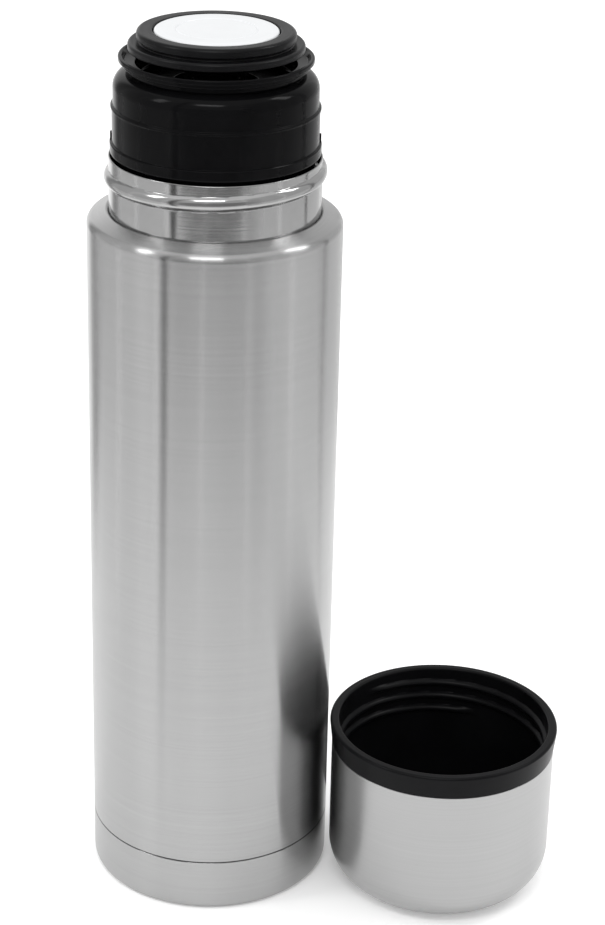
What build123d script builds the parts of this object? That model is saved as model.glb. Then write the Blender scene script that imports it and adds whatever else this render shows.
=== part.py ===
from build123d import *
import os
from math import cos, hypot, pi, radians, sin

# Vacuum flask with a push-button stopper screwed into its neck, and its steel cup standing
# beside it. Millimetres, +Z up. The origin is the centre of the flask's base, on the floor.

# ---- flask: overall sizes
body_r = 41.0            # outside of the flask's wall
neck_root_z = 239.7      # where the shoulder meets the neck
neck_height = 17.4       # from the neck's root up to its lip
neck_r = 33.9            # outside of the neck
seam_z = 18.8            # top edge of the base cover
shoulder_drop = 3.2      # from the neck's root down to the shoulder's outer corner
shoulder_fillet = 3.0
base_fillet = 3.0

# ---- flask: sheet walls and the vacuum space
shell_wall = 0.6
liner_wall = 0.6
vacuum_gap = 3.0         # between the outer shell and the inner liner
seam_gap = 0.4           # visible groove between base cover and outer shell
cover_clear = 0.1        # base cover over the shell's spigot
spigot_end_z = 3.2
plate_z = 7.6            # top of the outer bottom plate
liner_floor_z = 12.8     # underside of the liner's bottom
liner_joint_z = 24.0     # weld between the liner's tube and its bottom
neck_straight = 6.0      # straight neck below the shoulder's root
neck_taper = 6.5         # height over which the liner widens below the neck
weld_flange = 3.6        # turned-down edge of the shoulder, welded to the neck
foil_wall = 0.2
foil_clear = 0.1

# ---- screw thread, the same pitch on neck, stopper and cup (right-handed)
pitch = 5.2
bead_height = 1.5        # rolled bead on the neck
bead_root = 4.5          # width of the bead at the neck's wall
bead_crest = 1.8
bead_turns = 0.96
bead_drop = 2.6          # from the neck's lip down to the middle of the bead's high end
bead_start = 140.0       # azimuth of the bead's low end, degrees
thread_root = 2.6        # ridges moulded on stopper and cup
thread_crest = 1.0
thread_bite = 0.4        # how far a thread ridge is rooted in its wall

# ---- stopper: radii are steps in from the neck's outside
low_band_step = 0.5      # band just above the neck's lip
ridge_step = 0.8
collar_step = 1.2        # grip between the low band and the ridge
top_band_step = 1.55
lip_step = 3.3           # pouring lip
throat_step = 6.9        # waist under the pouring lip
trough_step = 8.7        # the drink wells up inside this
button_step = 14.4
lip_foot_step = 1.0      # smaller ring under the lip's edge, in from the lip
lip_wall = 1.1

# ---- stopper: heights are above the neck's lip
lip_gap = 0.6            # between the neck's lip and the low band
low_band_height = 4.0
lug_height = 3.4         # two small upright lugs on top of the low band
lug_width = 1.2
ridge_rise = 15.9
ridge_width = 1.4
pour_floor_rise = 23.5
collar_rise = 26.9
collar_shoulder = 4.7    # rounding at the top of the collar
lip_rise = 31.9
lip_edge = 1.5
lip_foot = 1.5
flange_rise = 33.7
flange_height = 2.5
head_rise = 39.9

# ---- stopper: threaded skirt, gasket and valve seat inside the neck
stopper_wall = 2.0
skirt_clear = 1.8        # threaded skirt inside the neck
thread_clear = 0.3       # thread ridge inside the neck
gasket_clear = 0.3       # drawn clearance of the gasket to the neck
skirt_reach = 18.1       # from the neck's lip down to the skirt's end
stopper_thread_turns = 1.2
stopper_thread_drop = 6.86   # from the neck's lip down to the thread's high end
stopper_thread_start = 200.0
gasket_height = 4.0
seat_flange = 1.6
chimney_r = 13.5         # inside of the pouring channel
chimney_wall = 1.5
chimney_reach = 1.8      # how far the channel goes below the skirt
snap = 0.05              # between pieces that snap or press together
foam_clear = 0.3

# ---- stopper head, button and valve
flange_step = 2.7        # flange outside the ring
ring_width = 5.4         # ring round the button
ring_groove = 0.9        # undercut between the flange and the ring
ring_round = 1.2
button_gap = 0.4
button_proud = 0.2       # button above the ring
button_skin = 1.6
button_skirt = 4.2
button_wall = 1.3
button_dish = 0.2
button_rim = 7.1         # flat rim round the button's dish
travel = 3.5             # how far the button goes down
stop_clear = 0.3         # left under the button's skirt at the end of its travel
chamber_skin = 1.5
guide_r = 7.2
guide_drop = 35.0        # from the head's top down to the guide's end
well_r = 5.6             # spring's well
well_drop = 27.0         # from the head's top down to the well's floor
vane_count = 4
vane_wall = 1.6
stem_r = 2.5
stem_fit = 0.08
boss_r = 3.6
boss_depth = 8.0
spring_r = 4.5
spring_wire_r = 0.4
spring_turns = 9.0
end_gap = 0.1            # spring's ends and the closed valve, each off its seat
seat_lap = 2.0           # the valve's seat stands in from the pouring channel
seal_lap = 3.1           # the valve's seal reaches out past the seat's opening
valve_rim = 0.9          # the valve's disc outside its seal
valve_seal_height = 1.8
valve_thickness = 2.4
oring_r = 4.2
oring_height = 1.8

# ---- cup, standing mouth up beside the flask
stand_gap = 1.3312       # between the flask's wall and the cup's rim
stand_angle = -10.7577   # direction of the cup from the flask, degrees
cup_height = 60.8
cup_wall = 0.5
cup_corner = 14.8
cup_thread_clear = 0.4   # inside of the cup's rim over the neck's bead
cup_thread_height = 1.4
rim_depth = 8.2          # plastic rim above the cup's steel
rim_inside = 2.4         # rim's inside in from the cup's wall
rim_flare = 0.9
rim_round = 0.8
cup_floor = 1.1          # plastic under the drink
cup_thread_turns = 2.2
cup_thread_drop = 5.0    # from the rim's edge to the top turn
cup_thread_end = 135.0   # azimuth of the top turn's end, degrees

# ---- flask: values that follow
lip_z = neck_root_z + neck_height
neck_inner_r = neck_r - liner_wall
spigot_r = body_r - shell_wall - cover_clear
liner_r = body_r - shell_wall - vacuum_gap
bead_z = lip_z - bead_drop - pitch * bead_turns

# ---- stopper: values that follow
low_band_r = neck_r - low_band_step
ridge_r = neck_r - ridge_step
collar_r = neck_r - collar_step
top_band_r = neck_r - top_band_step
lip_r = neck_r - lip_step
lip_foot_r = lip_r - lip_foot_step
throat_r = neck_r - throat_step
trough_r = neck_r - trough_step
skirt_r = neck_inner_r - skirt_clear
stopper_thread_r = neck_inner_r - thread_clear
ridge_z = lip_z + ridge_rise
pour_floor_z = lip_z + pour_floor_rise
collar_top_z = lip_z + collar_rise
lip_edge_z = lip_z + lip_rise
skirt_end_z = lip_z - skirt_reach
stopper_thread_z = lip_z - stopper_thread_drop - pitch * stopper_thread_turns
chimney_end_z = skirt_end_z - chimney_reach
seat_top_z = skirt_end_z - gasket_height
seat_low_z = seat_top_z - seat_flange

# ---- stopper head, button and valve: values that follow
button_r = neck_r - button_step
ring_r = button_r + ring_width
flange_r = ring_r + flange_step
button_dish_r = button_r - button_rim
flange_low_z = lip_z + flange_rise
flange_top_z = flange_low_z + flange_height
head_z = lip_z + head_rise
button_top_z = head_z + button_proud
button_floor_z = button_top_z - button_skin
chamber_floor_z = button_top_z - button_skirt - travel - stop_clear
guide_end_z = head_z - guide_drop
well_floor_z = head_z - well_drop
seat_r = chimney_r - seat_lap
valve_seal_r = seat_r + seal_lap
valve_r = valve_seal_r + valve_rim
valve_top_z = seat_low_z - end_gap - valve_seal_height
valve_low_z = valve_top_z - valve_thickness

# ---- cup: values that follow
rim_inner_r = neck_r + bead_height + cup_thread_clear
cup_thread_r = rim_inner_r - cup_thread_height
cup_r = rim_inner_r + rim_inside
rim_r = cup_r + rim_flare
rim_low_z = cup_height - rim_depth
stand_distance = body_r + rim_r + stand_gap
cup_x = stand_distance * cos(radians(stand_angle))
cup_y = stand_distance * sin(radians(stand_angle))


def section(points):
    """A closed outline of (radius, height) or (radius, height, fillet) points, as a face."""
    corners = [(p[0], p[1]) for p in points]
    rounds = [p[2] if len(p) > 2 else 0 for p in points]
    return Plane.XZ * make_face(FilletPolyline(*corners, radius=rounds, close=True))


def turned(points):
    """A solid turned about the flask's axis."""
    return revolve(section(points), Axis.Z)


def formed_sheet(path, wall):
    """A sheet turned about the axis. The path is its outer face, and the wall lies on the left
    of the path's direction. Corners keep one wall thickness all the way round."""
    steps = []
    for a, b in zip(path, path[1:]):
        length = hypot(b[0] - a[0], b[1] - a[1])
        steps.append(((b[0] - a[0]) / length, (b[1] - a[1]) / length))
    inner = []
    for i, point in enumerate(path):
        before = steps[max(i - 1, 0)]
        after = steps[min(i, len(steps) - 1)]
        shift = wall / (1 + before[0] * after[0] + before[1] * after[1])
        turn = before[0] * after[1] - before[1] * after[0]
        radius = point[2] if len(point) > 2 else 0
        if radius:
            radius = max(radius - wall, 0.1) if turn > 0 else radius + wall
        across = -(before[1] + after[1]) * shift
        up = (before[0] + after[0]) * shift
        inner.append((point[0] + across, point[1] + up, radius))
    if abs(inner[-1][0]) < 1e-6:
        inner[-1] = (0, inner[-1][1], 0)
    return turned(list(path) + inner[::-1])


def thread_ridge(radius_in, radius_out, root, crest, low_z, turns, start):
    """A helical ridge of trapezium section. Its wide side is at radius_in when that is the
    smaller radius of an outside thread, or the larger one of an inside thread."""
    path = Helix(pitch=pitch, height=pitch * turns, radius=radius_in, center=(0, 0, low_z))
    plane = Plane(origin=path @ 0, x_dir=(1, 0, 0), z_dir=path % 0)
    depth = radius_out - radius_in
    outline = Polyline((0, -root / 2), (depth, -crest / 2), (depth, crest / 2), (0, root / 2), close=True)
    ridge = sweep(plane * make_face(outline), path=path, is_frenet=True)
    return Rot(0, 0, start) * ridge


def whole(shape):
    """The largest solid of a boolean result, which is the piece itself."""
    return max(shape.solids(), key=lambda s: s.volume)


# ---- flask --------------------------------------------------------------------------------

def make_outer_shell():
    shoulder_z = neck_root_z - shoulder_drop
    return formed_sheet([
        (neck_r, neck_root_z - weld_flange),
        (neck_r, neck_root_z, 0.9),
        (body_r, shoulder_z, shoulder_fillet),
        (body_r, seam_z + seam_gap),
        (spigot_r, seam_z + 0.05),
        (spigot_r, spigot_end_z),
    ][::-1], shell_wall)


def make_base_cover():
    groove_out = body_r * 0.66
    groove_in = body_r * 0.36
    return formed_sheet([
        (0, 0),
        (groove_in, 0, 0.7),
        (groove_in + 1.4, 1.0, 0.7),
        (groove_out - 1.4, 1.0, 0.7),
        (groove_out, 0, 0.7),
        (body_r, 0, base_fillet),
        (body_r, seam_z),
    ], shell_wall)


def make_outer_bottom():
    skirt = spigot_r - shell_wall
    return formed_sheet([
        (skirt, spigot_end_z),
        (skirt, plate_z, 2.0),
        (9.0, plate_z),
        (7.6, plate_z + 1.0),
        (1.5, plate_z + 1.0),
    ], shell_wall)


def make_vacuum_seal():
    top = plate_z + 1.0 - shell_wall
    return turned([(0, top - 0.9), (6.6, top - 0.9, 0.3), (6.6, top), (0, top)])


def getter_place():
    return Pos(0, -22, plate_z)


def make_getter_clip():
    strip = Box(24, 6, 0.4, align=(Align.CENTER, Align.CENTER, Align.MIN))
    for side in (-1, 1):
        strip += Pos(side * 5.2, 0, 0) * Box(0.4, 6, 2.6, align=(Align.CENTER, Align.CENTER, Align.MIN))
    return getter_place() * strip


def make_getter():
    pill = Box(9.9, 6, 1.6, align=(Align.CENTER, Align.CENTER, Align.MIN))
    pill = fillet(pill.edges().filter_by(Axis.X), 0.4)
    return getter_place() * Pos(0, 0, 0.45) * pill


def make_inner_liner():
    wide_z = neck_root_z - neck_straight - neck_taper
    sheet = formed_sheet([
        (liner_r, liner_joint_z),
        (liner_r, wide_z, 5.0),
        (neck_r, wide_z + neck_taper, 4.0),
        (neck_r, lip_z),
    ], liner_wall)
    half = liner_wall / 2
    slope = (bead_root - bead_crest) / 2 / bead_height
    crest_r = neck_r + bead_height
    bead = thread_ridge(neck_r - half, crest_r, bead_root + 2 * slope * half, bead_crest,
                        bead_z, bead_turns, bead_start)
    inside = neck_inner_r - half
    groove_root = bead_root - 2 * liner_wall + 2 * slope * (neck_r - inside)
    groove = thread_ridge(inside, crest_r - liner_wall, groove_root - 0.3, bead_crest - 0.6,
                          bead_z + 0.0085 * pitch, bead_turns - 0.017, bead_start + 3.0)
    return whole(sheet + bead - groove)


def make_liner_bottom():
    return formed_sheet([(0, liner_floor_z), (liner_r, liner_floor_z, 9.0), (liner_r, liner_joint_z)],
                        liner_wall)


def make_radiation_foil():
    inner = liner_r + foil_clear
    low = liner_joint_z + 2
    high = neck_root_z - neck_straight - neck_taper - 4
    return turned([(inner, low), (inner + foil_wall, low), (inner + foil_wall, high), (inner, high)])


# ---- stopper ------------------------------------------------------------------------------

def make_stopper_body():
    bore = skirt_r - stopper_wall
    chimney_out = chimney_r + chimney_wall
    band_z = lip_z + lip_gap
    band_top = band_z + low_band_height
    half_ridge = ridge_width / 2
    lug_reach = stopper_wall
    foot_top = lip_edge_z - lip_edge
    foot_low = foot_top - lip_foot
    moulding = turned([
        (bore, skirt_end_z),
        (skirt_r, skirt_end_z, 0.4),
        (skirt_r, band_z),
        (low_band_r, band_z, 1.0),
        (low_band_r, band_top - 0.5, 0.2),
        (collar_r, band_top),
        (collar_r, ridge_z - half_ridge),
        (ridge_r, ridge_z - half_ridge + 0.3),
        (ridge_r, ridge_z + half_ridge - 0.3),
        (top_band_r, ridge_z + half_ridge),
        (top_band_r, collar_top_z, collar_shoulder),
        (throat_r, collar_top_z, 0.5),
        (throat_r, foot_low - 0.3, 0.5),
        (lip_foot_r, foot_low, 0.3),
        (lip_foot_r, foot_top - 0.2),
        (lip_r, foot_top, 0.2),
        (lip_r, lip_edge_z, 0.4),
        (lip_r - lip_wall, lip_edge_z, 0.4),
        (lip_foot_r - lip_wall, foot_low + lip_wall + 0.1, 0.5),
        (trough_r, foot_low + lip_wall - 0.3, 0.5),
        (trough_r, pour_floor_z + 0.6, 1.5),
        (chimney_r, pour_floor_z, 0.5),
        (chimney_r, chimney_end_z),
        (chimney_out, chimney_end_z),
        (chimney_out, pour_floor_z - stopper_wall, 1.0),
        (bore, pour_floor_z - stopper_wall, 3.0),
    ])
    thread = thread_ridge(skirt_r - thread_bite, stopper_thread_r, thread_root, thread_crest,
                          stopper_thread_z, stopper_thread_turns, stopper_thread_start)
    moulding += thread
    for side in (-1, 1):
        lug = Box(lug_reach, lug_width, lug_height, align=(Align.CENTER, Align.CENTER, Align.MIN))
        moulding += Pos(side * (low_band_r - 0.2 - lug_reach / 2), 0, band_top - 1.0) * lug
    return whole(moulding)


def make_valve_seat():
    bore = skirt_r - stopper_wall - snap
    socket = chimney_r + chimney_wall + snap
    return turned([
        (seat_r, seat_low_z),
        (skirt_r, seat_low_z, 0.5),
        (skirt_r, seat_top_z),
        (bore, seat_top_z),
        (bore, skirt_end_z + 2.5),
        (bore - 1.5, skirt_end_z + 2.5),
        (bore - 1.5, seat_top_z + 0.9),
        (socket + 1.8, seat_top_z + 0.9),
        (socket + 1.8, skirt_end_z + 2.5),
        (socket, skirt_end_z + 2.5),
        (socket, chimney_end_z - snap),
        (chimney_r, chimney_end_z - snap),
        (seat_r, seat_top_z + 0.9),
    ])


def make_stopper_gasket():
    inner = skirt_r - stopper_wall - snap
    outer = neck_inner_r - gasket_clear
    low = seat_top_z + snap
    high = skirt_end_z - snap
    third = (high - low) / 3
    return turned([
        (inner + snap, low),
        (outer - 1.2, low),
        (outer, low + third * 0.5, 0.2),
        (outer - 1.2, low + third, 0.2),
        (outer - 1.2, low + third * 2, 0.2),
        (outer, low + third * 2.5, 0.2),
        (outer - 1.2, high),
        (inner + snap, high),
    ])


def make_stopper_foam():
    inner = chimney_r + chimney_wall + foam_clear
    outer = skirt_r - stopper_wall - foam_clear
    low = skirt_end_z + 2.5 + foam_clear
    high = pour_floor_z - stopper_wall - foam_clear
    return turned([(inner, low), (outer, low), (outer, high, 3.4), (inner, high, 1.4)])


def make_stopper_top():
    bore = button_r + button_gap
    under = chamber_floor_z - chamber_skin
    vane_top = pour_floor_z - 1.0
    head = turned([
        (guide_r, guide_end_z, 0.4),
        (guide_r, under, 1.2),
        (bore - 1.5, under, 1.0),
        (flange_r - 3.0, flange_low_z - 0.4),
        (flange_r, flange_low_z, 0.4),
        (flange_r, flange_top_z, 0.9),
        (ring_r - ring_groove, flange_top_z - 0.2, 0.3),
        (ring_r - ring_groove, flange_top_z + 0.7, 0.2),
        (ring_r, flange_top_z + 0.9, 0.3),
        (ring_r, head_z, ring_round),
        (bore, head_z, 0.5),
        (bore, chamber_floor_z, 0.4),
        (well_r, chamber_floor_z),
        (well_r, well_floor_z),
        (stem_r + stem_fit, well_floor_z),
        (stem_r + stem_fit, guide_end_z + oring_height + snap),
        (oring_r + snap, guide_end_z + oring_height + snap),
        (oring_r + snap, guide_end_z),
    ])
    reach = chimney_r - snap
    for i in range(vane_count):
        vane = Box(reach - guide_r + 1, vane_wall, vane_top - guide_end_z - 4,
                   align=(Align.MIN, Align.CENTER, Align.MIN))
        vane = Pos(guide_r - 1, 0, guide_end_z + 4) * vane
        head += Rot(0, 0, 45 + 360 / vane_count * i) * vane
    for i in range(vane_count):
        post = Box(1.8, vane_wall, under - pour_floor_z + 2.2,
                   align=(Align.MAX, Align.CENTER, Align.MIN))
        post = Pos(reach - 0.4, 0, vane_top - 1.0) * post
        head += Rot(0, 0, 45 + 360 / vane_count * i) * post
    return whole(head)


def make_stem_seal():
    return turned([
        (stem_r + stem_fit, guide_end_z, 0.5),
        (oring_r, guide_end_z, 0.5),
        (oring_r, guide_end_z + oring_height, 0.5),
        (stem_r + stem_fit, guide_end_z + oring_height, 0.5),
    ])


def make_push_button():
    low = button_floor_z + button_skin - button_skirt
    inner = button_r - button_wall
    return turned([
        (0, button_top_z - button_dish),
        (button_dish_r, button_top_z - button_dish, 0.3),
        (button_dish_r + 0.5, button_top_z, 0.3),
        (button_r, button_top_z, 0.9),
        (button_r, low),
        (inner, low),
        (inner, button_floor_z, 0.5),
        (boss_r, button_floor_z),
        (boss_r, button_floor_z - boss_depth),
        (stem_r + snap, button_floor_z - boss_depth),
        (stem_r + snap, button_floor_z - 0.8),
        (0, button_floor_z - 0.8),
    ])


def make_valve_stem():
    return turned([
        (0, valve_low_z + 0.8),
        (stem_r, valve_low_z + 0.8),
        (stem_r, button_floor_z - 0.8 - snap, 0.3),
        (0, button_floor_z - 0.8 - snap),
    ])


def make_valve_disc():
    return turned([
        (0, valve_low_z),
        (valve_r, valve_low_z, 0.8),
        (valve_r, valve_top_z),
        (boss_r + 4, valve_top_z),
        (boss_r + 2.4, valve_top_z + 3.0, 0.5),
        (stem_r + snap, valve_top_z + 3.0),
        (stem_r + snap, valve_low_z + 0.8 - snap),
        (0, valve_low_z + 0.8 - snap),
    ])


def make_valve_seal():
    inner = boss_r + 4 + snap
    return turned([
        (inner, valve_top_z + snap),
        (valve_seal_r, valve_top_z + snap, 0.4),
        (valve_seal_r, valve_top_z + valve_seal_height, 0.4),
        (seat_r - 1.2, valve_top_z + valve_seal_height, 0.3),
        (inner, valve_top_z + valve_seal_height - 0.5),
    ])


def make_button_spring():
    low = well_floor_z + end_gap + spring_wire_r
    high = button_floor_z - end_gap - spring_wire_r
    coil = Helix(pitch=(high - low) / spring_turns, height=high - low, radius=spring_r, center=(0, 0, low))
    wire = Plane(origin=coil @ 0, z_dir=coil % 0) * Circle(spring_wire_r)
    return sweep(wire, path=coil, is_frenet=True)


# ---- cup ----------------------------------------------------------------------------------

def cup_place():
    return Pos(cup_x, cup_y, 0)


def make_cup_shell():
    sheet = formed_sheet([(0, 0), (cup_r, 0, cup_corner), (cup_r, rim_low_z)], cup_wall)
    return cup_place() * sheet


def make_cup_liner():
    outer = cup_r - cup_wall - snap
    floor = cup_wall + snap
    inner_corner = cup_corner - cup_wall - (outer - rim_inner_r + cup_floor) / 2
    moulding = turned([
        (0, floor),
        (outer, floor, cup_corner - cup_wall),
        (outer, rim_low_z + snap),
        (cup_r, rim_low_z + snap, 0.2),
        (rim_r, cup_height, rim_round),
        (rim_inner_r, cup_height, rim_round),
        (rim_inner_r, floor + cup_floor, inner_corner),
        (0, floor + cup_floor),
    ])
    low = cup_height - cup_thread_drop - pitch * cup_thread_turns
    start = cup_thread_end - 360 * cup_thread_turns
    thread = thread_ridge(rim_inner_r + thread_bite, cup_thread_r, thread_root, thread_crest,
                          low, cup_thread_turns, start)
    return cup_place() * whole(moulding + thread)


makers = {
    "outer_shell": make_outer_shell,
    "base_cover": make_base_cover,
    "outer_bottom": make_outer_bottom,
    "vacuum_seal": make_vacuum_seal,
    "getter_clip": make_getter_clip,
    "getter": make_getter,
    "inner_liner": make_inner_liner,
    "liner_bottom": make_liner_bottom,
    "radiation_foil": make_radiation_foil,
    "stopper_body": make_stopper_body,
    "valve_seat": make_valve_seat,
    "stopper_gasket": make_stopper_gasket,
    "stopper_foam": make_stopper_foam,
    "stopper_top": make_stopper_top,
    "stem_seal": make_stem_seal,
    "push_button": make_push_button,
    "valve_stem": make_valve_stem,
    "valve_disc": make_valve_disc,
    "valve_seal": make_valve_seal,
    "button_spring": make_button_spring,
    "cup_shell": make_cup_shell,
    "cup_liner": make_cup_liner,
}

os.makedirs("parts", exist_ok=True)
for name, make in makers.items():
    export_step(make(), f"parts/{name}.step")
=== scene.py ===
import bpy
from math import acos, atan2, ceil, cos, degrees, pi, radians, sin, tan
from mathutils import Matrix, Vector


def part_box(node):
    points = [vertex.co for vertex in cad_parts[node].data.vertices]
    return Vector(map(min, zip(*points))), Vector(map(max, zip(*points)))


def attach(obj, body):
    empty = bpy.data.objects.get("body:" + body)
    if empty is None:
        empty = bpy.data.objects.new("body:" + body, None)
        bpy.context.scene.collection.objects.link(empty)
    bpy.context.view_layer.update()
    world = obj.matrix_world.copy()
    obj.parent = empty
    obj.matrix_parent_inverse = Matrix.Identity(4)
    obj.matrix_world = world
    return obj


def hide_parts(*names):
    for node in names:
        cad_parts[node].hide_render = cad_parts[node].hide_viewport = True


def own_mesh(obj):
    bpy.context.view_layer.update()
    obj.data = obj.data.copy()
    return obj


# Looks for the vacuum flask, its push-button stopper and its cup, in the CAD's frame. The pieces'
# sizes are in millimetres and their meshes are built in metres. The stage is in metres.
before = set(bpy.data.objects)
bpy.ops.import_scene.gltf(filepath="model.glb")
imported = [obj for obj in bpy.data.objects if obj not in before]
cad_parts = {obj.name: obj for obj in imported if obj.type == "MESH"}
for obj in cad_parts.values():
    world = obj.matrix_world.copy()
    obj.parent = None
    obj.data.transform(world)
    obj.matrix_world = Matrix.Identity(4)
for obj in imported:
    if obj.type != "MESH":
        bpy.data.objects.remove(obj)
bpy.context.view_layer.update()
scene = bpy.context.scene
mm = 0.001
thread_step = 0.2        # between the rows of vertices that a thread is raised on
thread_margin = 2.0      # how far those rows go on past a moulded thread's end


# ---- outlines and turned meshes -----------------------------------------------------------

def rounded(points, closed=True, arc_step=9.0):
    """(radius, height[, fillet]) corners in mm as a dense outline with its fillets as arcs."""
    out = []
    count = len(points)
    for i, point in enumerate(points):
        here = Vector(point[:2])
        fillet = point[2] if len(point) > 2 else 0
        ends = closed or 0 < i < count - 1
        if not fillet or not ends:
            out.append((here.x, here.y))
            continue
        before = (Vector(points[i - 1][:2]) - here).normalized()
        after = (Vector(points[(i + 1) % count][:2]) - here).normalized()
        half = acos(max(-1, min(1, before.dot(after)))) / 2
        run = fillet / tan(half)
        centre = here + (before + after).normalized() * (fillet / sin(half))
        start = here + before * run - centre
        end = here + after * run - centre
        sweep = atan2(start.x * end.y - start.y * end.x, start.dot(end))
        steps = max(2, ceil(abs(degrees(sweep)) / arc_step))
        for k in range(steps + 1):
            turn = Matrix.Rotation(sweep * k / steps, 2)
            spot = centre + turn @ start
            out.append((spot.x, spot.y))
    return out


def divided(low, high, step):
    """Heights from low to high, evenly spaced at no more than step."""
    count = max(1, ceil(abs(high - low) / step))
    return [low + (high - low) * i / count for i in range(count + 1)]


def build_mesh(name, verts, faces, body, material, replaces, sharp=32.0):
    """A smooth-shaded mesh that rides its body and replaces the CAD nodes named."""
    mesh = bpy.data.meshes.new(name)
    mesh.from_pydata(verts, [], faces)
    mesh.validate()
    obj = bpy.data.objects.new(name, mesh)
    scene.collection.objects.link(obj)
    mesh.materials.append(material)
    mesh.shade_smooth()
    mesh.set_sharp_from_angle(angle=radians(sharp))
    weighted = obj.modifiers.new("weighted", "WEIGHTED_NORMAL")
    weighted.weight = 100
    weighted.keep_sharp = True
    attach(obj, body)
    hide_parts(*replaces)
    return obj


def turned(outline, centre=(0, 0), segments=192, closed=True, relief=None):
    """Vertices and faces of an outline (mm) turned about a vertical axis. relief(angle, radius,
    height) gives the radius to use instead, for threads and other marks that go round."""
    verts = []
    faces = []
    rings = []
    for radius, height in outline:
        if radius < 1e-6:
            rings.append([len(verts)] * segments)
            verts.append((centre[0] * mm, centre[1] * mm, height * mm))
            continue
        rings.append(list(range(len(verts), len(verts) + segments)))
        for i in range(segments):
            angle = 2 * pi * i / segments
            reach = relief(angle, radius, height) if relief else radius
            verts.append(((centre[0] + reach * cos(angle)) * mm,
                          (centre[1] + reach * sin(angle)) * mm, height * mm))
    pairs = list(zip(rings, rings[1:]))
    if closed:
        pairs.append((rings[-1], rings[0]))
    for lower, upper in pairs:
        for i in range(segments):
            j = (i + 1) % segments
            face = []
            for v in (lower[i], lower[j], upper[j], upper[i]):
                if v not in face:
                    face.append(v)
            if len(face) > 2:
                faces.append(face)
    return verts, faces


def add_box(verts, faces, low, high, turn):
    """Adds an upright box, turned about the flask's axis, to a mesh's vertices and faces."""
    first = len(verts)
    for x in (low[0], high[0]):
        for y in (low[1], high[1]):
            for z in (low[2], high[2]):
                spot = Matrix.Rotation(turn, 3, "Z") @ Vector((x, y, z))
                verts.append(tuple(spot * mm))
    sides = [(0, 1, 3, 2), (4, 6, 7, 5), (0, 4, 5, 1), (2, 3, 7, 6), (0, 2, 6, 4), (1, 5, 7, 3)]
    faces += [[first + corner for corner in side] for side in sides]


def helix_height(angle, height, low_z, turns, start, pitch, half_width, fade):
    """How far up its flank (0 to 1) a helical ridge is at this spot, fading in and out."""
    best = 0.0
    for lap in range(int(turns) + 2):
        along = (angle - radians(start)) % (2 * pi) / (2 * pi) + lap
        if along > turns:
            break
        off = abs(height - low_z - pitch * along)
        if off >= half_width:
            continue
        ends = min(along, turns - along) * 360 / fade
        ends = min(1.0, ends)
        ends = ends * ends * (3 - 2 * ends)
        shape = (1 - (off / half_width) ** 2) ** 0.75
        best = max(best, shape * ends)
    return best


# ---- materials ----------------------------------------------------------------------------

class Nodes:
    """A material with a Principled shader, and short ways to add and link its nodes."""

    def __init__(self, name, color, roughness, metallic=0.0, specular=0.5):
        self.material = bpy.data.materials.new(name)
        self.material.use_nodes = True
        self.tree = self.material.node_tree
        self.shader = self.tree.nodes["Principled BSDF"]
        self.set("Base Color", (*color, 1))
        self.set("Roughness", roughness)
        self.set("Metallic", metallic)
        self.set("Specular IOR Level", specular)

    def set(self, socket, value):
        self.shader.inputs[socket].default_value = value

    def add(self, kind, **values):
        node = self.tree.nodes.new(kind)
        for key, value in values.items():
            setattr(node, key, value)
        return node

    def link(self, a, b):
        self.tree.links.new(a, b)

    def math(self, operation, a, b=None, c=None):
        node = self.add("ShaderNodeMath", operation=operation)
        for socket, value in zip(node.inputs, (a, b, c)):
            if value is None:
                continue
            if isinstance(value, (int, float)):
                socket.default_value = value
            else:
                self.link(value, socket)
        return node.outputs[0]

    def place(self, centre=(0, 0)):
        """Object coordinates with the turned piece's axis at zero, as a vector and as its three
        parts, and the distance from that axis."""
        coords = self.add("ShaderNodeTexCoord")
        shift = self.add("ShaderNodeVectorMath", operation="SUBTRACT")
        shift.inputs[1].default_value = (centre[0] * mm, centre[1] * mm, 0)
        self.link(coords.outputs["Object"], shift.inputs[0])
        parts = self.add("ShaderNodeSeparateXYZ")
        self.link(shift.outputs[0], parts.inputs[0])
        x2 = self.math("MULTIPLY", parts.outputs[0], parts.outputs[0])
        radius = self.math("SQRT", self.math("MULTIPLY_ADD", parts.outputs[1], parts.outputs[1], x2))
        return shift.outputs[0], parts.outputs, radius

    def stretched(self, parts, along, around, across):
        """A vector that changes slowly round the axis and quickly along the outline."""
        join = self.add("ShaderNodeCombineXYZ")
        self.link(self.math("MULTIPLY", parts[0], around), join.inputs[0])
        self.link(self.math("MULTIPLY", parts[1], around), join.inputs[1])
        self.link(self.math("MULTIPLY", along, across), join.inputs[2])
        return join.outputs[0]

    def noise(self, vector, scale, detail=2.0, roughness=0.5):
        node = self.add("ShaderNodeTexNoise")
        node.inputs["Scale"].default_value = scale
        node.inputs["Detail"].default_value = detail
        node.inputs["Roughness"].default_value = roughness
        self.link(vector, node.inputs["Vector"])
        return node.outputs["Fac"]

    def ranged(self, value, low, high, to_low, to_high):
        node = self.add("ShaderNodeMapRange")
        for index, number in enumerate((low, high, to_low, to_high)):
            node.inputs[index + 1].default_value = number
        self.link(value, node.inputs[0])
        return node.outputs[0]

    def shades(self, value, dark, light, low=0.0, high=1.0):
        node = self.add("ShaderNodeValToRGB")
        node.color_ramp.elements[0].position = low
        node.color_ramp.elements[1].position = high
        node.color_ramp.elements[0].color = (*dark, 1)
        node.color_ramp.elements[1].color = (*light, 1)
        self.link(value, node.inputs[0])
        return node.outputs[0]

    def bump(self, height, distance, strength):
        node = self.add("ShaderNodeBump")
        node.inputs["Strength"].default_value = strength
        node.inputs["Distance"].default_value = distance
        self.link(height, node.inputs["Height"])
        return node.outputs[0]

    def feed(self, socket, output):
        self.link(output, self.shader.inputs[socket])


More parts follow.
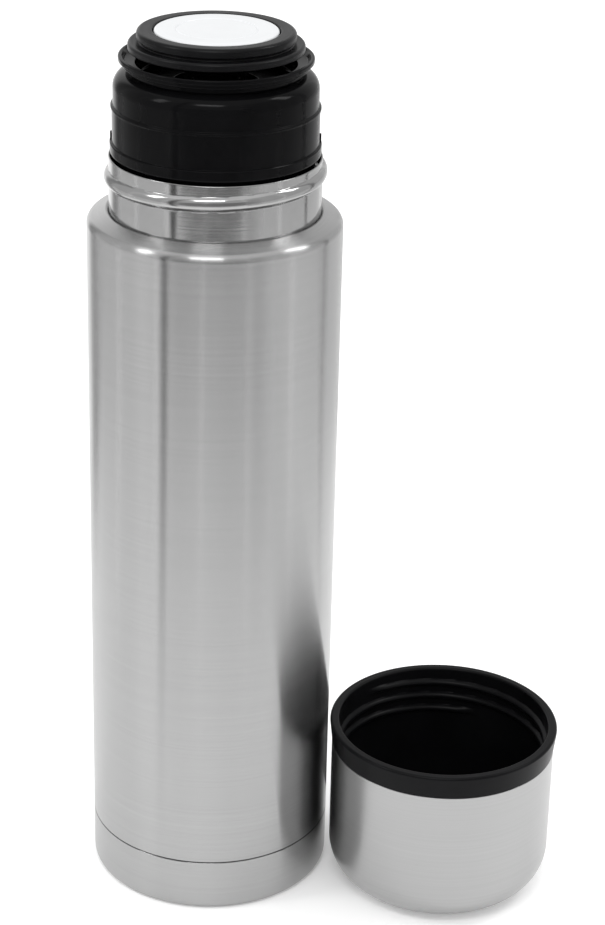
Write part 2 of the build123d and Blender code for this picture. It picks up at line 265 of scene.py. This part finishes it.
def brushed_steel(name, shade, roughness, centre=(0, 0), anisotropy=1.0, brush=1.0):
    """Steel brushed round its axis: fine lines, a few deeper ones, and handling smudges."""
    m = Nodes(name, (shade, shade, shade), roughness, metallic=1.0)
    spot, parts, radius = m.place(centre)
    along = m.math("SUBTRACT", parts[2], radius)
    fine = m.noise(m.stretched(parts, along, around=9, across=4200), 1.0, detail=2.0, roughness=0.6)
    broad = m.noise(m.stretched(parts, along, around=5, across=1100), 1.0, detail=3.0, roughness=0.6)
    smudge = m.noise(spot, 22, detail=3.0, roughness=0.55)
    grain = m.math("MULTIPLY_ADD", broad, 0.5, m.math("MULTIPLY", fine, 0.5))
    tone = m.math("MULTIPLY_ADD", smudge, 0.2, m.math("MULTIPLY", grain, 0.8))
    swing = 0.09 * brush
    low = shade * (1 - swing)
    high = min(1.0, shade * (1 + swing))
    m.feed("Base Color", m.shades(tone, (low, low, low), (high, high, high), 0.3, 0.7))
    rough = m.ranged(m.math("MULTIPLY_ADD", smudge, 0.6, m.math("MULTIPLY", broad, 0.4)),
                     0.3, 0.7, roughness * 0.9, roughness * 1.1)
    m.feed("Roughness", rough)
    m.feed("Normal", m.bump(grain, 0.000008, 0.5 * brush))
    tangent = m.add("ShaderNodeTangent", direction_type="RADIAL", axis="Z")
    m.feed("Tangent", tangent.outputs[0])
    m.set("Anisotropic", anisotropy)
    m.set("Anisotropic Rotation", 0.25)
    return m.material


def polished_steel(name, shade, roughness):
    """Drawn and polished sheet: slight vertical ripples, faint turning lines, water marks."""
    m = Nodes(name, (shade, shade, shade), roughness, metallic=1.0)
    spot, parts, radius = m.place()
    ripple = m.noise(m.stretched(parts, parts[2], around=90, across=14), 1.0)
    along = m.math("SUBTRACT", parts[2], radius)
    lines = m.noise(m.stretched(parts, along, around=9, across=1500), 1.0)
    marks = m.noise(spot, 70, detail=3.0, roughness=0.6)
    dark = (shade * 0.9,) * 3
    light = (min(1, shade * 1.05),) * 3
    m.feed("Base Color", m.shades(marks, dark, light, 0.3, 0.7))
    m.feed("Roughness", m.ranged(marks, 0.3, 0.75, roughness * 0.7, roughness * 1.8))
    height = m.math("MULTIPLY_ADD", lines, 0.06, ripple)
    m.feed("Normal", m.bump(height, 0.00035, 0.5))
    return m.material


def moulded_plastic(name, color, roughness, specular=0.5, grain=900, depth=0.00001, tint=0.25,
                    centre=(0, 0)):
    """Moulded plastic: fine surface texture, uneven gloss, a little dust and rubbing."""
    m = Nodes(name, color, roughness, specular=specular)
    spot, parts, radius = m.place(centre)
    cells = m.noise(spot, grain)
    cloud = m.noise(spot, 38, detail=4.0, roughness=0.6)
    along = m.math("SUBTRACT", parts[2], radius)
    rub = m.noise(m.stretched(parts, along, around=20, across=900), 1.0, detail=3.0, roughness=0.6)
    light = tuple(min(1.0, c * (1 + tint) + 0.004 * tint) for c in color)
    dark = tuple(c * (1 - tint) for c in color)
    m.feed("Base Color", m.shades(cloud, dark, light, 0.3, 0.7))
    wear = m.math("MULTIPLY_ADD", rub, 0.4, m.math("MULTIPLY", cloud, 0.6))
    m.feed("Roughness", m.ranged(wear, 0.3, 0.7, roughness * 0.75, min(1.0, roughness * 1.3)))
    m.feed("Normal", m.bump(cells, depth, 0.6))
    return m.material


cup_low, cup_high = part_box("cup_shell")
cup_axis = ((cup_low.x + cup_high.x) / 2 / mm, (cup_low.y + cup_high.y) / 2 / mm)

body_steel = brushed_steel("body_steel", 0.40, 0.24)
cup_steel = brushed_steel("cup_steel", 0.40, 0.30, cup_axis, anisotropy=0.7, brush=0.6)
neck_steel = polished_steel("neck_steel", 0.37, 0.10)
sheet_steel = brushed_steel("sheet_steel", 0.45, 0.35, anisotropy=0.3)
collar_black = moulded_plastic("collar_black", (0.0022, 0.0022, 0.0025), 0.13, specular=0.06)
head_black = moulded_plastic("head_black", (0.004, 0.004, 0.0045), 0.30, specular=0.11)
rim_black = moulded_plastic("rim_black", (0.0035, 0.0035, 0.004), 0.32, specular=0.09, centre=cup_axis)
button_white = moulded_plastic("button_white", (0.64, 0.65, 0.66), 0.22, tint=0.02)
silicone = moulded_plastic("silicone", (0.55, 0.55, 0.53), 0.55, tint=0.06)
insulation = moulded_plastic("insulation", (0.8, 0.77, 0.68), 0.9, grain=500, depth=0.0002, tint=0.1)
foil_metal = polished_steel("foil_metal", 0.8, 0.2)
solder = brushed_steel("solder", 0.4, 0.5, anisotropy=0.0)
sintered = moulded_plastic("sintered", (0.12, 0.12, 0.125), 0.8, grain=1500, depth=0.0001)

for names, material in (
    (("outer_bottom", "getter_clip", "valve_stem"), sheet_steel),
    (("liner_bottom",), neck_steel),
    (("radiation_foil",), foil_metal),
    (("vacuum_seal",), solder),
    (("getter",), sintered),
    (("valve_seat", "valve_disc"), collar_black),
    (("stopper_gasket", "stem_seal", "valve_seal"), silicone),
    (("stopper_foam",), insulation),
):
    for name in names:
        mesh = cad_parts[name].data
        mesh.materials.clear()
        mesh.materials.append(material)


# ---- flask --------------------------------------------------------------------------------

def radius_of(node):
    """Half the width of a turned node, in mm."""
    low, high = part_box(node)
    return (high.x - low.x) / 2 / mm


body_r = radius_of("outer_shell")
wall = 0.6
seam_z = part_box("base_cover")[1].z / mm
seam_gap = 0.4
shell_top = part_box("outer_shell")[1].z / mm
root_cut = 0.5           # what the rounding at the neck's root takes off the shell's height
neck_root_z = shell_top + root_cut
neck_r = 33.9
lip_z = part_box("inner_liner")[1].z / mm
liner_r = radius_of("inner_liner")
liner_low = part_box("inner_liner")[0].z / mm
thread_pitch = 5.2
moulded_half_width = 1.35    # half the width of the ridges moulded on stopper and cup


def make_shell():
    """Outer shell: a spigot inside the base cover, the cylinder, the shoulder and its flange."""
    spigot_r = body_r - wall - 0.1
    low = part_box("outer_shell")[0].z / mm
    edge_z = seam_z + seam_gap
    shoulder_z = neck_root_z - 3.2
    flange_r = neck_r + 0.02
    flange_low = neck_root_z - 3.6
    outline = rounded([
        (spigot_r, low),
        (spigot_r, seam_z + 0.05),
        (body_r - 0.25, edge_z - 0.12, 0.1),
        (body_r, edge_z + 0.1, 0.15),
        (body_r, shoulder_z, 3.0),
        (flange_r, neck_root_z, 0.9),
        (flange_r, flange_low),
        (neck_r + wall, flange_low),
        (neck_r + wall, neck_root_z - 0.95, 0.3),
        (body_r - wall, shoulder_z - 0.45, 2.4),
        (body_r - wall, edge_z),
        (spigot_r - wall, seam_z - 0.3),
        (spigot_r - wall, low),
    ])
    verts, faces = turned(outline, segments=288)
    return build_mesh("shell", verts, faces, "flask", body_steel, ["outer_shell"])


def make_base():
    """Base cover, with a shallow groove pressed round its underside."""
    groove_out = body_r * 0.66
    groove_in = body_r * 0.36
    depth = 1.0
    slant = 1.4
    outline = rounded([
        (0, 0),
        (groove_in, 0, 0.7),
        (groove_in + slant, depth, 0.7),
        (groove_out - slant, depth, 0.7),
        (groove_out, 0, 0.7),
        (body_r, 0, 3.0),
        (body_r, seam_z, 0.22),
        (body_r - wall, seam_z, 0.1),
        (body_r - wall, wall, 2.4),
        (groove_out + 0.3, wall, 0.6),
        (groove_out - slant + 0.3, depth + wall, 0.6),
        (groove_in + slant - 0.3, depth + wall, 0.6),
        (groove_in - 0.3, wall, 0.6),
        (0, wall),
    ])
    verts, faces = turned(outline, segments=288, closed=False)
    return build_mesh("base", verts, faces, "flask", body_steel, ["base_cover"])


bead_height = 1.5
bead = {
    "low_z": lip_z - 7.6,
    "turns": 0.96,
    "start": 140.0,
    "pitch": thread_pitch,
    "half_width": 2.4,
    "fade": 24,
}


def make_liner():
    """Liner with its neck: the rolled thread stands out of the wall and hollows it inside."""
    wide_z = neck_root_z - 12.5
    taper_z = wide_z + 6.5
    neck_low = neck_root_z - 1.5
    lip_low = lip_z - 0.45
    lip_fillet = 0.28
    outside = rounded([
        (liner_r, liner_low),
        (liner_r, wide_z, 5.0),
        (neck_r, taper_z, 4.0),
        (neck_r, neck_low),
    ], closed=False)
    outside += [(neck_r, z) for z in divided(neck_low, lip_low, thread_step)[1:]]
    lip = rounded([
        (neck_r, lip_low),
        (neck_r, lip_z, lip_fillet),
        (neck_r - wall, lip_z, lip_fillet),
        (neck_r - wall, lip_low),
    ], closed=False, arc_step=20)
    inside = [(r - wall, z) for r, z in outside[::-1]]

    def relief(angle, radius, height):
        if height < neck_low or height > lip_low + 0.05:
            return radius
        return radius + bead_height * helix_height(angle, height, **bead)

    outline = outside + lip[1:-1] + inside
    verts, faces = turned(outline, segments=320, relief=relief)
    return build_mesh("liner", verts, faces, "flask", neck_steel, ["inner_liner"],
                      sharp=50)


# ---- stopper ------------------------------------------------------------------------------

collar_r = 32.7
low_band_r = 33.4
top_band_r = 32.35
ridge_r = 33.05
skirt_r = 31.5
body_low, body_high = (corner.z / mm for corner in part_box("stopper_body"))
skirt_end_z = body_low + 1.8
pour_lip_z = body_high
pour_lip_r = 30.6
foot_r = 29.6
throat_r = 27.0
trough_r = 25.2
trough_z = pour_lip_z - 8.4
chimney_r = 13.5
skirt_ridge = 1.5
skirt_thread = {
    "low_z": lip_z - 13.1,
    "turns": 1.2,
    "start": 200.0,
    "pitch": thread_pitch,
    "half_width": moulded_half_width,
    "fade": 14,
}


def make_stopper_body():
    """Skirt with its thread, collar with its bands and two lugs, pouring lip, trough, chimney."""
    bore = skirt_r - 2.0
    chimney_out = chimney_r + 1.5
    collar_top = pour_lip_z - 5.0
    roof = trough_z - 2.0
    band_z = lip_z + 0.6
    band_top = band_z + 4.0
    ridge_low = lip_z + 15.5
    ridge_top = ridge_low + 0.6
    foot_top = pour_lip_z - 1.5
    foot_low = foot_top - 1.5
    thread_low = skirt_thread["low_z"] - thread_margin
    thread_high = thread_low + 2 * thread_margin + thread_pitch * skirt_thread["turns"]
    skirt = [(skirt_r, z) for z in divided(thread_low, thread_high, thread_step)]
    lower = rounded([
        (bore, skirt_end_z),
        (skirt_r, skirt_end_z, 0.4),
        (skirt_r, thread_low - 0.1),
    ], closed=False)
    upper = rounded([
        (skirt_r, thread_high + 0.1),
        (skirt_r, band_z, 0.3),
        (low_band_r, band_z, 1.1),
        (low_band_r, band_top - 0.35, 0.15),
        (low_band_r - 0.25, band_top - 0.1, 0.12),
        (collar_r, band_top, 0.2),
        (collar_r, ridge_low - 0.25, 0.15),
        (ridge_r, ridge_low, 0.2),
        (ridge_r, ridge_top, 0.25),
        (top_band_r, ridge_top + 0.4, 0.2),
        (top_band_r, collar_top, 5.0),
        (throat_r, collar_top, 0.6),
        (throat_r, foot_low - 0.3, 0.5),
        (foot_r, foot_low, 0.45),
        (foot_r, foot_top - 0.2, 0.25),
        (pour_lip_r, foot_top, 0.35),
        (pour_lip_r, pour_lip_z, 0.5),
        (pour_lip_r - 1.1, pour_lip_z, 0.45),
        (foot_r - 1.1, foot_low + 1.2, 0.5),
        (trough_r, foot_low + 0.8, 0.5),
        (trough_r, trough_z + 0.6, 1.5),
        (chimney_r, trough_z, 0.5),
        (chimney_r, body_low),
        (chimney_out, body_low),
        (chimney_out, roof, 1.0),
        (bore, roof, 3.0),
        (bore, skirt_end_z),
    ], closed=False)

    def relief(angle, radius, height):
        if radius != skirt_r or height < thread_low or height > thread_high:
            return radius
        return radius + skirt_ridge * helix_height(angle, height, **skirt_thread)

    verts, faces = turned(lower + skirt + upper[:-1], segments=256, relief=relief)
    half_lug = 0.6
    for side in (0, pi):
        low = (skirt_r, -half_lug, band_top - 0.8)
        high = (low_band_r - 0.2, half_lug, band_top + 2.4)
        add_box(verts, faces, low, high, side)
    return build_mesh("stopper_collar", verts, faces, "stopper", collar_black,
                      ["stopper_body"])


def make_head():
    """Flange, ring, button chamber and stem guide, and four ribs that reach the chimney."""
    low, high = (corner.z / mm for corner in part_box("stopper_top"))
    bore = 19.9
    chamber = high - 7.8
    under = chamber - 1.5
    flange_r = radius_of("stopper_top")
    flange_low = high - 6.6
    flange_top = high - 3.7
    ring_r = 24.9
    ring_root_r = ring_r - 0.9
    guide_r = 7.2
    well_r = 5.6
    well_floor = low + 8
    stem_hole_r = 2.58
    seal_r = 4.25
    seal_top = low + 1.85
    outline = rounded([
        (guide_r, low, 0.4),
        (guide_r, under, 1.2),
        (bore - 1.5, under, 1.0),
        (flange_r - 3.0, flange_low, 1.0),
        (flange_r, flange_low + 0.4, 0.45),
        (flange_r, flange_top, 0.95),
        (ring_root_r, flange_top - 0.2, 0.35),
        (ring_root_r, flange_top + 0.7, 0.25),
        (ring_r, flange_top + 0.9, 0.35),
        (ring_r, high, 1.3),
        (bore, high, 0.55),
        (bore, chamber, 0.4),
        (well_r, chamber),
        (well_r, well_floor),
        (stem_hole_r, well_floor),
        (stem_hole_r, seal_top),
        (seal_r, seal_top),
        (seal_r, low),
    ])
    verts, faces = turned(outline, segments=256)
    reach = chimney_r - 0.05
    half_rib = 0.8
    for i in range(4):
        turn = radians(45 + 90 * i)
        web_low = (guide_r - 1, -half_rib, low + 4)
        web_high = (reach, half_rib, trough_z - 1)
        post_low = (reach - 2.2, -half_rib, trough_z - 2)
        post_high = (reach - 0.4, half_rib, under + 0.2)
        add_box(verts, faces, web_low, web_high, turn)
        add_box(verts, faces, post_low, post_high, turn)
    return build_mesh("stopper_head", verts, faces, "stopper", head_black,
                      ["stopper_top"])


def make_button():
    """Button: a slightly sunk disc inside a fine groove, a skirt, and a boss for the stem."""
    low, high = (corner.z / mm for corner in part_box("push_button"))
    r = radius_of("push_button")
    inner_r = r - 1.3
    skin = high - 1.6
    dish_r = 12.3
    dish_z = high - 0.12
    groove_z = high - 0.3
    skirt_low = high - 4.2
    boss_r = 3.6
    stem_hole_r = 2.55
    stem_hole_top = skin - 0.8
    outline = rounded([
        (0, dish_z),
        (dish_r, dish_z, 0.3),
        (dish_r + 0.25, groove_z, 0.12),
        (dish_r + 0.45, groove_z, 0.12),
        (dish_r + 0.7, high - 0.02, 0.3),
        (r - 2.5, high, 4.0),
        (r, high - 0.15, 0.75),
        (r, skirt_low, 0.2),
        (inner_r, skirt_low),
        (inner_r, skin, 0.5),
        (boss_r, skin),
        (boss_r, low),
        (stem_hole_r, low),
        (stem_hole_r, stem_hole_top),
        (0, stem_hole_top),
    ])
    verts, faces = turned(outline, segments=192, closed=False)
    return build_mesh("button", verts, faces, "button", button_white, ["push_button"])


def make_spring():
    """The button's spring: a coil of round wire that shortens when the button is pressed, built at the
    CAD part's length as a mesh of its own.
    """
    low, high = (corner.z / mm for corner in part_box("button_spring"))
    length = high - low
    wire_r = 0.4
    coil_r = radius_of("button_spring") - wire_r
    turns = 9
    steps = 32 * turns
    sides = 10
    verts = []
    for i in range(steps + 1):
        angle = 2 * pi * turns * i / steps
        centre_z = low + wire_r + (length - 2 * wire_r) * i / steps
        for k in range(sides):
            turn = 2 * pi * k / sides
            radius = coil_r + wire_r * cos(turn)
            height = centre_z + wire_r * sin(turn)
            verts.append((radius * cos(angle) * mm, radius * sin(angle) * mm, height * mm))
    first_end = list(range(sides))
    last_end = list(range(len(verts) - 1, len(verts) - sides - 1, -1))
    faces = [first_end, last_end]
    for i in range(steps):
        for k in range(sides):
            a = i * sides + k
            b = i * sides + (k + 1) % sides
            faces.append([a, a + sides, b + sides, b])
    spring = build_mesh("spring_coil", verts, faces, "stopper", sheet_steel,
                        ["button_spring"])
    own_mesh(spring)
    return spring


# ---- cup ----------------------------------------------------------------------------------

cup_r = radius_of("cup_shell")
cup_wall = 0.5
cup_corner = 14.8
rim_low_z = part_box("cup_shell")[1].z / mm
rim_r = 39.1
rim_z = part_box("cup_liner")[1].z / mm
rim_inner_r = 35.8
cup_ridge = 1.4
cup_thread_turns = 2.2
cup_thread = {
    "low_z": rim_z - 5.0 - cup_thread_turns * thread_pitch,
    "turns": cup_thread_turns,
    "start": 135.0 - 360 * cup_thread_turns,
    "pitch": thread_pitch,
    "half_width": moulded_half_width,
    "fade": 16,
}


def make_cup_shell():
    """Steel shell of the cup, with its rounded foot."""
    outline = rounded([
        (0, 0),
        (cup_r, 0, cup_corner),
        (cup_r, rim_low_z, 0.12),
        (cup_r - cup_wall, rim_low_z, 0.12),
        (cup_r - cup_wall, cup_wall, cup_corner - cup_wall),
        (0, cup_wall),
    ], arc_step=3.5)
    verts, faces = turned(outline, cup_axis, segments=256, closed=False)
    return build_mesh("cup_steel_shell", verts, faces, "cup", cup_steel, ["cup_shell"])


def make_cup_liner():
    """Plastic liner of the cup: its rim stands over the shell, and its thread reaches inward."""
    outer = cup_r - cup_wall - 0.05
    floor = cup_wall + 0.05
    inner_floor = floor + 1.1
    inner_corner = 12.8
    rim_seat_z = rim_low_z + 0.08
    thread_low = cup_thread["low_z"] - thread_margin
    thread_high = rim_z - 2.0
    outside = rounded([
        (0, floor),
        (outer, floor, cup_corner - cup_wall),
        (outer, rim_seat_z),
        (cup_r, rim_seat_z, 0.25),
        (rim_r, rim_z, 0.9),
        (rim_inner_r, rim_z, 0.8),
        (rim_inner_r, thread_high),
    ], closed=False, arc_step=6)
    inside = [(rim_inner_r, z) for z in divided(thread_high - 0.1, thread_low, thread_step)]
    bottom = rounded([
        (rim_inner_r, thread_low - thread_step),
        (rim_inner_r, inner_floor, inner_corner),
        (0, inner_floor),
    ], closed=False, arc_step=4)

    def relief(angle, radius, height):
        if abs(radius - rim_inner_r) > 1e-6 or height < thread_low or height > thread_high:
            return radius
        return radius - cup_ridge * helix_height(angle, height, **cup_thread)

    outline = outside[:-1] + inside + bottom
    verts, faces = turned(outline, cup_axis, segments=288, closed=False, relief=relief)
    return build_mesh("cup_plastic_liner", verts, faces, "cup", rim_black, ["cup_liner"])


make_shell()
make_base()
make_liner()
make_stopper_body()
make_head()
make_button()
make_spring()
make_cup_shell()
make_cup_liner()


# ---- stage, light and camera --------------------------------------------------------------

def make_floor():
    """A white floor, faintly clouded and slightly lit from itself."""
    m = Nodes("floor_white", (0.93, 0.93, 0.93), 0.7, specular=0.2)
    m.set("Emission Color", (1, 1, 1, 1))
    m.set("Emission Strength", 0.16)
    cloud = m.noise(m.place()[0], 3, detail=3.0)
    m.feed("Base Color", m.shades(cloud, (0.92, 0.92, 0.92), (0.94, 0.94, 0.94), 0.3, 0.7))
    side = 6
    near_edge = 0.75
    bpy.ops.mesh.primitive_plane_add(size=1)
    floor = bpy.context.object
    floor.name = "floor"
    floor.scale = (side, side, 1)
    floor.location = (0, side / 2 - near_edge, 0)
    floor.data.materials.append(m.material)


def make_flag(name, place, width, height, dark, soft, facing=None):
    """A grey card that only shows in reflections. It fades out over a share of its width and
    faces the flask's axis unless another direction is given."""
    bpy.ops.mesh.primitive_plane_add(size=1)
    card = bpy.context.object
    card.name = name
    card.scale = (width, height, 1)
    card.location = (place[0], place[1], height / 2)
    angle = atan2(place[1], place[0]) if facing is None else radians(facing)
    card.rotation_euler = (pi / 2, 0, angle + pi / 2)
    material = bpy.data.materials.new(name)
    material.use_nodes = True
    tree = material.node_tree
    tree.nodes.remove(tree.nodes["Principled BSDF"])
    coords = tree.nodes.new("ShaderNodeTexCoord")
    parts = tree.nodes.new("ShaderNodeSeparateXYZ")
    tree.links.new(coords.outputs["Generated"], parts.inputs[0])
    edge = tree.nodes.new("ShaderNodeMath")
    edge.operation = "PINGPONG"
    edge.inputs[1].default_value = 0.5
    tree.links.new(parts.outputs[0], edge.inputs[0])
    fade = tree.nodes.new("ShaderNodeMapRange")
    fade.interpolation_type = "SMOOTHSTEP"
    fade.inputs[2].default_value = soft
    fade.inputs[3].default_value = 1.0
    fade.inputs[4].default_value = 1.0 - dark
    tree.links.new(edge.outputs[0], fade.inputs[0])
    glass = tree.nodes.new("ShaderNodeBsdfTransparent")
    tree.links.new(fade.outputs[0], glass.inputs["Color"])
    tree.links.new(glass.outputs[0], tree.nodes["Material Output"].inputs["Surface"])
    card.data.materials.append(material)
    card.visible_camera = False
    card.visible_diffuse = False
    card.visible_shadow = False


def make_lamp(name, place, width, height, watts):
    """A softbox that points at the flask and gives the rounded edges their highlights."""
    data = bpy.data.lights.new(name, "AREA")
    data.shape = "RECTANGLE"
    data.size = width
    data.size_y = height
    data.energy = watts
    lamp = bpy.data.objects.new(name, data)
    lamp.location = place
    target = Vector((0, 0, 0.22))
    aim = target - Vector(place)
    lamp.rotation_euler = aim.to_track_quat("-Z", "Y").to_euler()
    scene.collection.objects.link(lamp)


def around(direction, distance):
    """A place on the floor, in a direction in degrees and at a distance from the flask's axis."""
    angle = radians(direction)
    return distance * cos(angle), distance * sin(angle)


def make_world():
    """A plain white surround."""
    world = bpy.data.worlds.new("studio")
    scene.world = world
    world.use_nodes = True
    background = world.node_tree.nodes["Background"]
    background.inputs["Color"].default_value = (1, 1, 1, 1)
    background.inputs["Strength"].default_value = 1.12


def make_camera():
    """Looks down on the flask from the front, a little turned and rolled."""
    pitch = 0.4255
    yaw = 0.0401
    roll = 0.0249
    forward = Vector((sin(yaw) * cos(pitch), cos(yaw) * cos(pitch), -sin(pitch)))
    level = Vector((cos(yaw), -sin(yaw), 0))
    up = level.cross(forward)
    right = cos(roll) * level + sin(roll) * up
    above = -sin(roll) * level + cos(roll) * up
    distance = 0.7433
    height = 0.4875
    data = bpy.data.cameras.new("camera")
    data.sensor_width = 36
    data.lens = 95.2
    camera = bpy.data.objects.new("camera", data)
    camera.matrix_world = Matrix((
        (right.x, above.x, -forward.x, 0),
        (right.y, above.y, -forward.y, -distance),
        (right.z, above.z, -forward.z, height),
        (0, 0, 0, 1),
    ))
    scene.collection.objects.link(camera)
    scene.camera = camera


make_floor()
make_lamp("lamp_front", (-0.12, -0.75, 1.15), width=0.5, height=0.16, watts=3.0)
make_lamp("lamp_left", (-0.85, -0.25, 0.95), width=0.2, height=0.4, watts=2.2)
make_lamp("lamp_right", (0.8, 0.1, 1.0), width=0.2, height=0.4, watts=2.2)
make_flag("flag_left", around(-133, 0.34), width=0.053, height=0.9, dark=0.88, soft=0.35)
make_flag("flag_right", around(20, 0.38), width=0.06, height=0.9, dark=0.62, soft=0.4)
make_flag("flag_back", around(137, 0.34), width=0.17, height=0.9, dark=0.62, soft=0.45)
make_flag("flag_front", around(-92, 0.62), width=1.15, height=0.5, dark=0.52, soft=0.22)
make_flag("flag_centre", around(-52, 0.36), width=0.16, height=0.5, dark=0.22, soft=0.5)
make_flag("flag_gap", (0.080, 0.040), width=0.085, height=0.042, dark=0.97, soft=0.10, facing=90)
for number in range(8):
    place = around(40 * number - 200, 0.38)
    make_flag(f"flag_ring_{number}", place, width=0.31, height=0.7, dark=0.32, soft=0.16)
make_world()
make_camera()
scene.view_settings.view_transform = "Standard"
scene.view_settings.look = "None"
